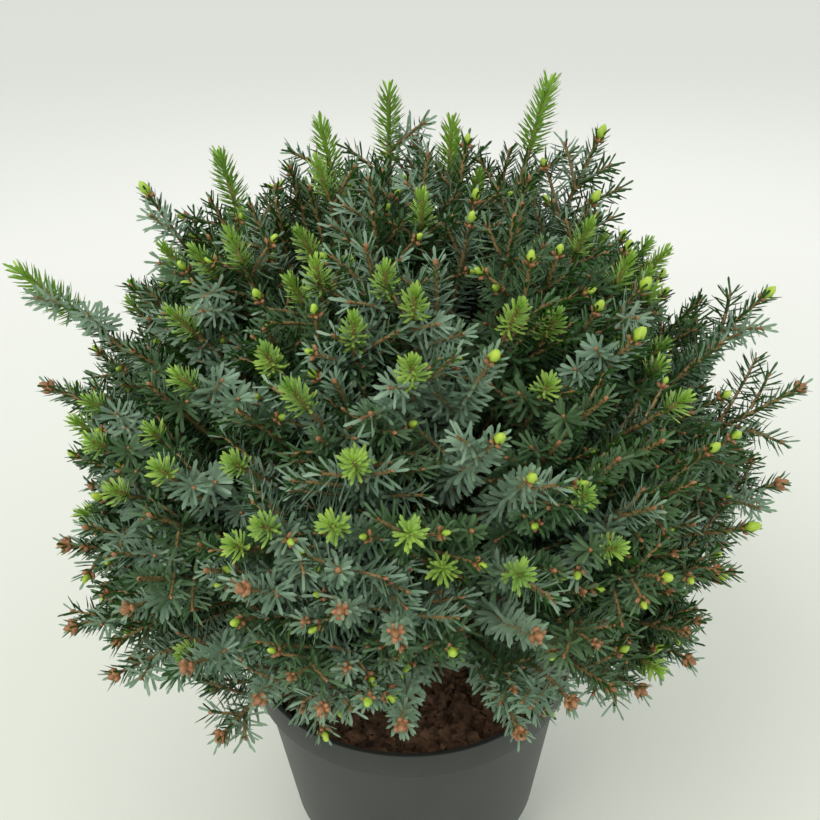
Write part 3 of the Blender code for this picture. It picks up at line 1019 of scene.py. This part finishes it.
needle = needle_prototype(
    "needle",
    [
        (-NEEDLE_FOOT, 0.0, 0.0),
        (NEEDLE_FOOT, 0.0, 0.0),
        (-NEEDLE_HALF, NEEDLE_SHOULDER, 0.0),
        (NEEDLE_HALF, NEEDLE_SHOULDER, 0.0),
        (0.0, NEEDLE_LENGTH, 0.0),
        (0.0, KEEL_PLACE, -NEEDLE_DEPTH),
    ],
    [(0, 1, 3), (0, 3, 2), (2, 3, 4), (3, 1, 5), (4, 3, 5), (2, 4, 5), (0, 2, 5), (1, 0, 5)],
    3,
)
inner_needle = needle_prototype(
    "inner needle",
    [
        (-NEEDLE_HALF, 0.0, 0.0),
        (NEEDLE_HALF, 0.0, 0.0),
        (0.0, NEEDLE_LENGTH, 0.0),
        (0.0, INNER_KEEL_PLACE, -NEEDLE_DEPTH),
    ],
    [(0, 1, 2), (1, 0, 3), (2, 1, 3), (0, 2, 3)],
    1,
)
print("needle:", len(needle.data.polygons), "triangles, inside the crown", len(inner_needle.data.polygons))

# %% [markdown]
# ## Needles along a line
# Needles leave the twig on a spiral. Near the foot of a shoot they stand out almost square to
# it, and towards the tip they close up round the bud. Each one is turned so that its flat
# face looks along the shoot. We work all of that out with arrays, one line at a time.

# %% Needles along a line
CLOSING_POWER = 2.2
PHASE_JITTER = 0.3
ANGLE_JITTER = 0.13
NEEDLE_SIZES = (0.86, 1.06)
TIP_SHRINK = 0.22
needle_rng = np.random.default_rng(SEED)


def unit(rows):
    return rows / np.linalg.norm(rows, axis=1, keepdims=True)


def along_line(line, shares):
    """Points and headings at the given shares of a line's length, and that length."""
    points = np.array([tuple(point) for point in line])
    steps = np.diff(points, axis=0)
    lengths = np.linalg.norm(steps, axis=1)
    marks = np.concatenate([[0.0], np.cumsum(lengths)]) / lengths.sum()
    places = np.stack([np.interp(shares, marks, points[:, k]) for k in range(3)], axis=1)
    index = np.clip(np.searchsorted(marks, shares, side="right") - 1, 0, len(steps) - 1)
    return places, steps[index] / lengths[index][:, None], lengths.sum()


def set_needles(line, shares, open_degrees, closed_degrees, flatten, size):
    """Places, turns and sizes of the needles at the given shares of a line."""
    places, heading, _ = along_line(line, shares)
    count = len(shares)
    upward = np.tile([0.0, 0.0, 1.0], (count, 1))
    upward[np.abs(heading[:, 2]) > STEEP] = [0.0, -1.0, 0.0]
    side = unit(np.cross(heading, upward))
    top = np.cross(side, heading)
    phase = np.radians(GOLDEN_ANGLE) * np.arange(count)
    phase = phase + needle_rng.uniform(-PHASE_JITTER, PHASE_JITTER, count)
    outward = unit(side * np.cos(phase)[:, None] + top * (np.sin(phase) * flatten)[:, None])
    ease = ((shares - shares.min()) / max(1e-6, np.ptp(shares))) ** CLOSING_POWER
    opened = math.radians(open_degrees)
    closed = math.radians(closed_degrees)
    angle = opened + (closed - opened) * ease + needle_rng.uniform(-ANGLE_JITTER, ANGLE_JITTER, count)
    ahead = heading * np.cos(angle)[:, None] + outward * np.sin(angle)[:, None]
    across = np.cross(outward, heading)
    normal = np.cross(across, ahead)
    sizes = size * needle_rng.uniform(*NEEDLE_SIZES, count) * (1.0 - TIP_SHRINK * ease)
    return places, turns_from_axes(across, ahead, normal), sizes


print("needles turn by", round(GOLDEN_ANGLE, 1), "degrees from one to the next")

# %% [markdown]
# ## Needles for every shoot
# Side shoots carry their needles in a flatter spray than main ones, and inner shoots carry
# few. Where the end of a shoot is new growth, it gets its own softer needles, which are kept
# apart because their colour is. The sets are collected by part of the plant and by colour.

# %% Needles for every shoot
OPEN_DEGREES = 76.0
CLOSED_DEGREES = 36.0
# needles to the metre, bare share at the foot, and how round the spray is
NEEDLING = {"main": (1750.0, 0.30, 0.95), "side": (1500.0, 0.08, 0.62), "inner": (700.0, 0.08, 0.95)}
BRUSH_LENGTH = 0.034
BRUSH_NEEDLES = 115
TUFT_LENGTH = 0.008
LISTED_TUFT_LENGTH = 0.011
HIGH_TUFT_LENGTH = 0.017
HIGH_TIP = 0.37
TUFT_NEEDLES = 18
TUFT_PER_METRE = 2600
# opening angle, closing angle, roundness and size of the new needles
NEW_NEEDLES = {"brush": (66.0, 30.0, 1.0, 1.0), "tuft": (58.0, 14.0, 1.0, 0.78)}
batches = {}


def new_growth(shoot):
    """How much of a shoot's end is new, in metres."""
    if shoot.tip == "brush":
        return BRUSH_LENGTH
    if shoot.tip != "tuft":
        return 0.0
    if shoot.line[-1].z > HIGH_TIP:
        return HIGH_TUFT_LENGTH
    return LISTED_TUFT_LENGTH if shoot.listed else TUFT_LENGTH


def store(region, tint, made):
    batches.setdefault((region, tint), []).append(made)


for shoot in shoots:
    per_metre, first, flatten = NEEDLING[shoot.rank]
    length = along_line(shoot.line, np.array([0.0]))[2]
    new = new_growth(shoot)
    last = 1.0 - new / length
    count = max(3, int(length * (last - first) * per_metre))
    shares = np.linspace(first, last, count)
    made = set_needles(shoot.line, shares, OPEN_DEGREES, CLOSED_DEGREES, flatten, 1.0)
    store(shoot.region, "inner" if shoot.rank == "inner" else shoot.tint, made)
    if new:
        count = BRUSH_NEEDLES if shoot.tip == "brush" else int(TUFT_NEEDLES + new * TUFT_PER_METRE)
        shares = np.linspace(last, 1.0, count)
        store("all", "fresh", set_needles(shoot.line, shares, *NEW_NEEDLES[shoot.tip]))
print(len(batches), "batches of needles")

# %% [markdown]
# ## Needle pieces
# Each batch becomes one piece. The pieces stay under 200,000 triangles, so that an exporter
# doesn't have to thin them. Each piece but the one of new growth stands in for the foliage
# solids of its part of the plant.

# %% Needle pieces
NEEDLE_SPREAD = 0.06

total_needles = 0
for (region, tint), parts in sorted(batches.items()):
    places, turns, sizes = (np.concatenate(column) for column in zip(*parts))
    palette = "deep" if tint == "inner" else tint
    keel = finish[f"{palette}_keel"]
    face = finish[f"{palette}_face"]
    copy = inner_needle if tint == "inner" else needle
    piece = deal(f"needles_{region}_{tint}", copy, places, turns, sizes, keel, face, NEEDLE_SPREAD)
    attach(piece, "root")
    nodes = [f"foliage_{name}" for name in AXES if region_of(name) == region]
    if nodes:
        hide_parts(*nodes)
    total_needles += len(places)
    print(piece.name, len(places), "needles,", triangle_count(piece), "triangles")
bpy.data.objects.remove(needle)
bpy.data.objects.remove(inner_needle)
print(total_needles, "needles")

# %% [markdown]
# ## The tube tree
# A twig is a round line of changing thickness. All lines go into one mesh of edges with a
# thickness on each corner, and this small tree turns the edges into closed tubes.

# %% The tube tree


def tube_tree():
    tree, start, end = new_tree("tubes", {"Sides": "Int", "Material": "Material"})
    nodes = tree.nodes
    link = tree.links.new
    to_curve = nodes.new("GeometryNodeMeshToCurve")
    circle_node = nodes.new("GeometryNodeCurvePrimitiveCircle")
    circle_node.inputs["Radius"].default_value = 1.0
    sweep = nodes.new("GeometryNodeCurveToMesh")
    sweep.inputs["Fill Caps"].default_value = True
    smooth = nodes.new("GeometryNodeSetShadeSmooth")
    real = nodes.new("GeometryNodeRealizeInstances")
    paint = nodes.new("GeometryNodeSetMaterial")
    link(start.outputs["Geometry"], to_curve.inputs["Mesh"])
    link(to_curve.outputs["Curve"], sweep.inputs["Curve"])
    link(read_attribute(nodes, "thickness", "FLOAT"), sweep.inputs["Scale"])
    link(start.outputs["Sides"], circle_node.inputs["Resolution"])
    link(circle_node.outputs["Curve"], sweep.inputs["Profile Curve"])
    link(sweep.outputs["Mesh"], smooth.inputs["Geometry"])
    link(smooth.outputs["Geometry"], real.inputs["Geometry"])
    link(real.outputs["Geometry"], paint.inputs["Geometry"])
    link(start.outputs["Material"], paint.inputs["Material"])
    link(paint.outputs["Geometry"], end.inputs["Geometry"])
    return tree


def tubes(name, lines, sides, material):
    """One mesh of round tubes from lines, each a list of points and of radii."""
    points = []
    edges = []
    radii = []
    for line, thick in lines:
        first = len(points)
        points += [tuple(point) for point in line]
        edges += [(first + i, first + i + 1) for i in range(len(line) - 1)]
        radii += thick
    mesh = bpy.data.meshes.new(name)
    mesh.from_pydata(points, edges, [])
    radius_store = mesh.attributes.new("thickness", "FLOAT", "POINT")
    radius_store.data.foreach_set("value", radii)
    return run_tree(link_object(name, mesh), TUBES, sides=sides, material=material)


TUBES = tube_tree()
print("tube tree:", len(TUBES.nodes), "nodes")

# %% [markdown]
# ## Twigs
# Main twigs are thickest, and all of them thin out towards the tip. At this size four sides
# look round, because the shading is smooth. The twigs are pieces of their own, one for each
# part of the plant, because their colour isn't that of the needles.

# %% Twigs
TWIG_SIDES = 4
# radius at the foot and at the tip
TWIG_RADII = {"main": (0.0021, 0.0010), "side": (0.0011, 0.0007), "inner": (0.0016, 0.0008)}


def taper(thick, thin, count):
    return [thick + (thin - thick) * i / (count - 1) for i in range(count)]


for region in sorted({shoot.region for shoot in shoots}):
    own = [shoot for shoot in shoots if shoot.region == region]
    lines = [(shoot.line, taper(*TWIG_RADII[shoot.rank], len(shoot.line))) for shoot in own]
    twigs = tubes(f"twigs_{region}", lines, TWIG_SIDES, finish["twig"])
    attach(twigs, "root")
    print(twigs.name, len(own), "twigs,", triangle_count(twigs), "triangles")

# %% [markdown]
# ## One bud
# A bud is a small egg with a pointed end. Three rings and a point are enough for something
# four millimetres long that is repeated thousands of times.

# %% One bud
BUD_LENGTH = 0.0042
BUD_RADIUS = 0.0015
BUD_SIDES = 6
# width and height of the rings, as shares of the bud's own
BUD_PROFILE = ((0.40, 0.0), (1.0, 0.38), (0.62, 0.80))


def bud_prototype():
    builder = bmesh.new()
    rings = []
    for wide, high in BUD_PROFILE:
        corners = circle(BUD_RADIUS * wide, BUD_SIDES)
        rings.append([builder.verts.new((x, high * BUD_LENGTH, z)) for x, z in corners])
    bridge(builder, rings)
    point = builder.verts.new((0.0, BUD_LENGTH, 0.0))
    for i in range(BUD_SIDES):
        builder.faces.new((rings[-1][i], rings[-1][(i + 1) % BUD_SIDES], point))
    builder.faces.new(rings[0])
    bmesh.ops.recalc_face_normals(builder, faces=builder.faces)
    thing = to_object("egg", builder)
    thing.data.shade_smooth()
    return thing


egg = bud_prototype()
print("bud:", triangle_count(egg), "triangles")

# %% [markdown]
# ## Buds
# Most tips end in a dry orange-brown bud. At the listed and the low tips a few more lean out
# round it. Some buds have swollen to a lime green knob that pushes the brown scales aside.
# The same tree that dealt out the needles deals them out.

# %% Buds
KNOB_SIZES = {"listed": 1.8, "main": 1.5, "side": 1.15}
BUD_SIZES = {"listed": 1.40, "main": 0.95, "side": 0.65}
BUD_SINK = 0.001
COLLAR_SINK = 0.0015
COLLAR_OUT = 0.0006
COLLAR_JITTER = 0.4
LOW_TIP = 0.29
BUD_HELPER = (0.31, 0.22, 0.93)
# how far the outer buds of a tip lean out, their size and their number
COLLARS = {"knob": (0.95, 0.8, 4), "listed": (0.75, 1.1, 6), "low": (0.75, 0.75, 4)}
NO_COLLAR = (0.0, 0.0, 0)


def collar(shoot):
    """The outer buds of a tip. Only knobs, listed tips and low main tips have them."""
    if shoot.tip == "knob":
        return COLLARS["knob"]
    if shoot.listed:
        return COLLARS["listed"]
    low_main = shoot.rank == "main" and shoot.line[-1].z < LOW_TIP
    return COLLARS["low"] if low_main else NO_COLLAR


def tip_buds(shoot, rng):
    """Kind, place, heading and size of every bud at a shoot's tip."""
    tip = shoot.line[-1]
    heading = (tip - shoot.line[-2]).normalized()
    across, along = side_frame(heading)
    rank = "listed" if shoot.listed else shoot.rank
    if shoot.tip == "knob":
        yield "lime", tip, heading, KNOB_SIZES[rank]
    else:
        yield "bud", tip - heading * BUD_SINK, heading, BUD_SIZES[rank]
    lean, size, number = collar(shoot)
    for i in range(number):
        turned = 2 * math.pi * i / number + rng.uniform(-COLLAR_JITTER, COLLAR_JITTER)
        outward = around(across, along, turned)
        away = around(heading, outward, lean).normalized()
        yield "bud", tip - heading * COLLAR_SINK + outward * COLLAR_OUT, away, size


bud_rng = random.Random(SEED)
dealt = {"bud": [], "lime": []}
for shoot in shoots:
    if shoot.tip in ("knob", "bud"):
        for kind, place, heading, size in tip_buds(shoot, bud_rng):
            dealt[kind].append((place, heading, size))
for kind, rows in dealt.items():
    heads = unit(np.array([tuple(heading) for _, heading, _ in rows]))
    sides = unit(np.cross(heads, np.tile(BUD_HELPER, (len(rows), 1))))
    tops = np.cross(sides, heads)
    spots = np.array([tuple(place) for place, _, _ in rows])
    sizes = np.array([size for _, _, size in rows])
    paint = finish[kind]
    buds = deal(f"buds_{kind}", egg, spots, turns_from_axes(sides, heads, tops), sizes, paint, paint)
    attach(buds, "root")
    print(buds.name, len(rows), "buds,", triangle_count(buds), "triangles")
bpy.data.objects.remove(egg)

# %% [markdown]
# ## Bark in relief
# The stem and the boughs are short and almost hidden, but they show from below and through
# the gaps. Noise that is drawn out upwards pushes the surface of a limb out and in along its
# own radius, so the bark is real shape and not only shading.

# %% Bark in relief
CRACKS_ACROSS = 420.0
CRACKS_ALONG = 160.0
CRACK_LEVEL = 0.25


def barked_limb(builder, centres, radii, across, along, sides, relief):
    """A limb of rings with bark relief, closed at both ends."""
    rings = []
    for centre, radius in zip(centres, radii):
        ring = []
        for x, y in circle(1.0, sides):
            outward = across * x + along * y
            spot = centre + outward * radius
            grain = Vector((spot.x * CRACKS_ACROSS, spot.y * CRACKS_ACROSS, spot.z * CRACKS_ALONG))
            depth = relief * (noise.noise(grain) - CRACK_LEVEL)
            ring.append(builder.verts.new(centre + outward * (radius + depth)))
        rings.append(ring)
    bridge(builder, rings)
    builder.faces.new(rings[0])
    builder.faces.new(rings[-1])


print("the noise changes every", round(1000 / CRACKS_ACROSS, 1), "mm round a limb")

# %% [markdown]
# ## The trunk
# It keeps the taper, the flare at the root and the slight lean of the solid model. It starts
# a little below the mix, so that no gap shows where the two meet.

# %% The trunk
TRUNK_TIP_Z = 0.272
TRUNK_FOOT_Y = 0.006
TRUNK_TIP_Y = 0.018
FLARE_RADIUS = 0.0165
FLARE_HEIGHT = 0.014
TRUNK_RADIUS = 0.0100
TRUNK_TIP_RADIUS = 0.0036
TRUNK_SINK = 0.002
TRUNK_RELIEF = 0.0009
TRUNK_SIDES = 28
TRUNK_STEPS = 60


def trunk_centre(height):
    share = (height - SOIL_TOP) / (TRUNK_TIP_Z - SOIL_TOP)
    return Vector((0, TRUNK_FOOT_Y + (TRUNK_TIP_Y - TRUNK_FOOT_Y) * share, height))


def trunk_radius(height):
    share = (height - SOIL_TOP) / (TRUNK_TIP_Z - SOIL_TOP)
    tapered = TRUNK_RADIUS + (TRUNK_TIP_RADIUS - TRUNK_RADIUS) * share
    above_foot = max(0.0, 1.0 - (height - SOIL_TOP) / FLARE_HEIGHT)
    return tapered + (FLARE_RADIUS - TRUNK_RADIUS) * above_foot**2


foot = SOIL_TOP - TRUNK_SINK
heights = [foot + (TRUNK_TIP_Z - foot) * i / TRUNK_STEPS for i in range(TRUNK_STEPS + 1)]
centres = [trunk_centre(height) for height in heights]
radii = [trunk_radius(max(height, SOIL_TOP)) for height in heights]
trunk_builder = bmesh.new()
across, along = Vector((1, 0, 0)), Vector((0, 1, 0))
barked_limb(trunk_builder, centres, radii, across, along, TRUNK_SIDES, TRUNK_RELIEF)
bmesh.ops.recalc_face_normals(trunk_builder, faces=trunk_builder.faces)
trunk = to_object("trunk_bark", trunk_builder, finish["bark"])
trunk.data.shade_smooth()
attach(trunk, "root")
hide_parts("trunk")
print("trunk:", triangle_count(trunk), "triangles")

# %% [markdown]
# ## The boughs
# Each mass but the top one has a bough. It leaves the trunk level and ends along the axis of
# its mass, so a curve with a pull at each end draws it. The boughs of a ring leave the trunk
# at different heights, as the solid model has them, and all of them are one piece.

# %% The boughs
BOUGH_RADIUS = 0.0034
BOUGH_TIP_RADIUS = 0.0025
BOUGH_END = 0.45
BOUGH_ROOT = 0.7
BOUGH_PULL = 0.4
BOUGH_RELIEF = 0.0005
BOUGH_SIDES = 12
BOUGH_RINGS = 20


def pulled_curve(start, first_pull, last_pull, end, count):
    """Points on a curve whose ends are pulled towards two further points."""
    points = []
    for k in range(count):
        share = k / (count - 1)
        first = start.lerp(first_pull, share)
        second = first_pull.lerp(last_pull, share)
        third = last_pull.lerp(end, share)
        points.append(first.lerp(second, share).lerp(second.lerp(third, share), share))
    return points


bough_builder = bmesh.new()
for ring in RINGS:
    for i in range(ring.count):
        axis = AXES[f"{ring.name}_{i + 1}"]
        place = ((i * ring.stride) % ring.count) / (ring.count - 1)
        height = ring.lowest + (ring.highest - ring.lowest) * place
        outward = Vector((axis.x, axis.y, 0)).normalized()
        start = trunk_centre(height) + outward * trunk_radius(height) * BOUGH_ROOT
        end = HUB + axis * dome_reach(axis) * BOUGH_END
        pull = (end - start).length * BOUGH_PULL
        centres = pulled_curve(start, start + outward * pull, end - axis * pull, end, BOUGH_RINGS)
        radii = taper(BOUGH_RADIUS, BOUGH_TIP_RADIUS, BOUGH_RINGS)
        level = Vector((-outward.y, outward.x, 0))
        upright = (end - start).normalized().cross(level)
        barked_limb(bough_builder, centres, radii, level, upright, BOUGH_SIDES, BOUGH_RELIEF)
bmesh.ops.recalc_face_normals(bough_builder, faces=bough_builder.faces)
boughs = to_object("boughs_bark", bough_builder, finish["bark"])
boughs.data.shade_smooth()
bough_nodes = [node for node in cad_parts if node.startswith("bough_")]
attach(boughs, "root")
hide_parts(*bough_nodes)
print("boughs:", len(bough_nodes))

# %% [markdown]
# The dressed plant has to stay in the box of the solid model, give or take the tips of soft
# needles. Both boxes are written down, so that they can be compared.

# %% Sizes
DRESSED_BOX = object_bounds()
[[list(corner) for corner in box] for box in (CAD_BOX, DRESSED_BOX)]
print("solid box  ", [[round(v, 3) for v in corner] for corner in CAD_BOX])
print("dressed box", [[round(v, 3) for v in corner] for corner in DRESSED_BOX])
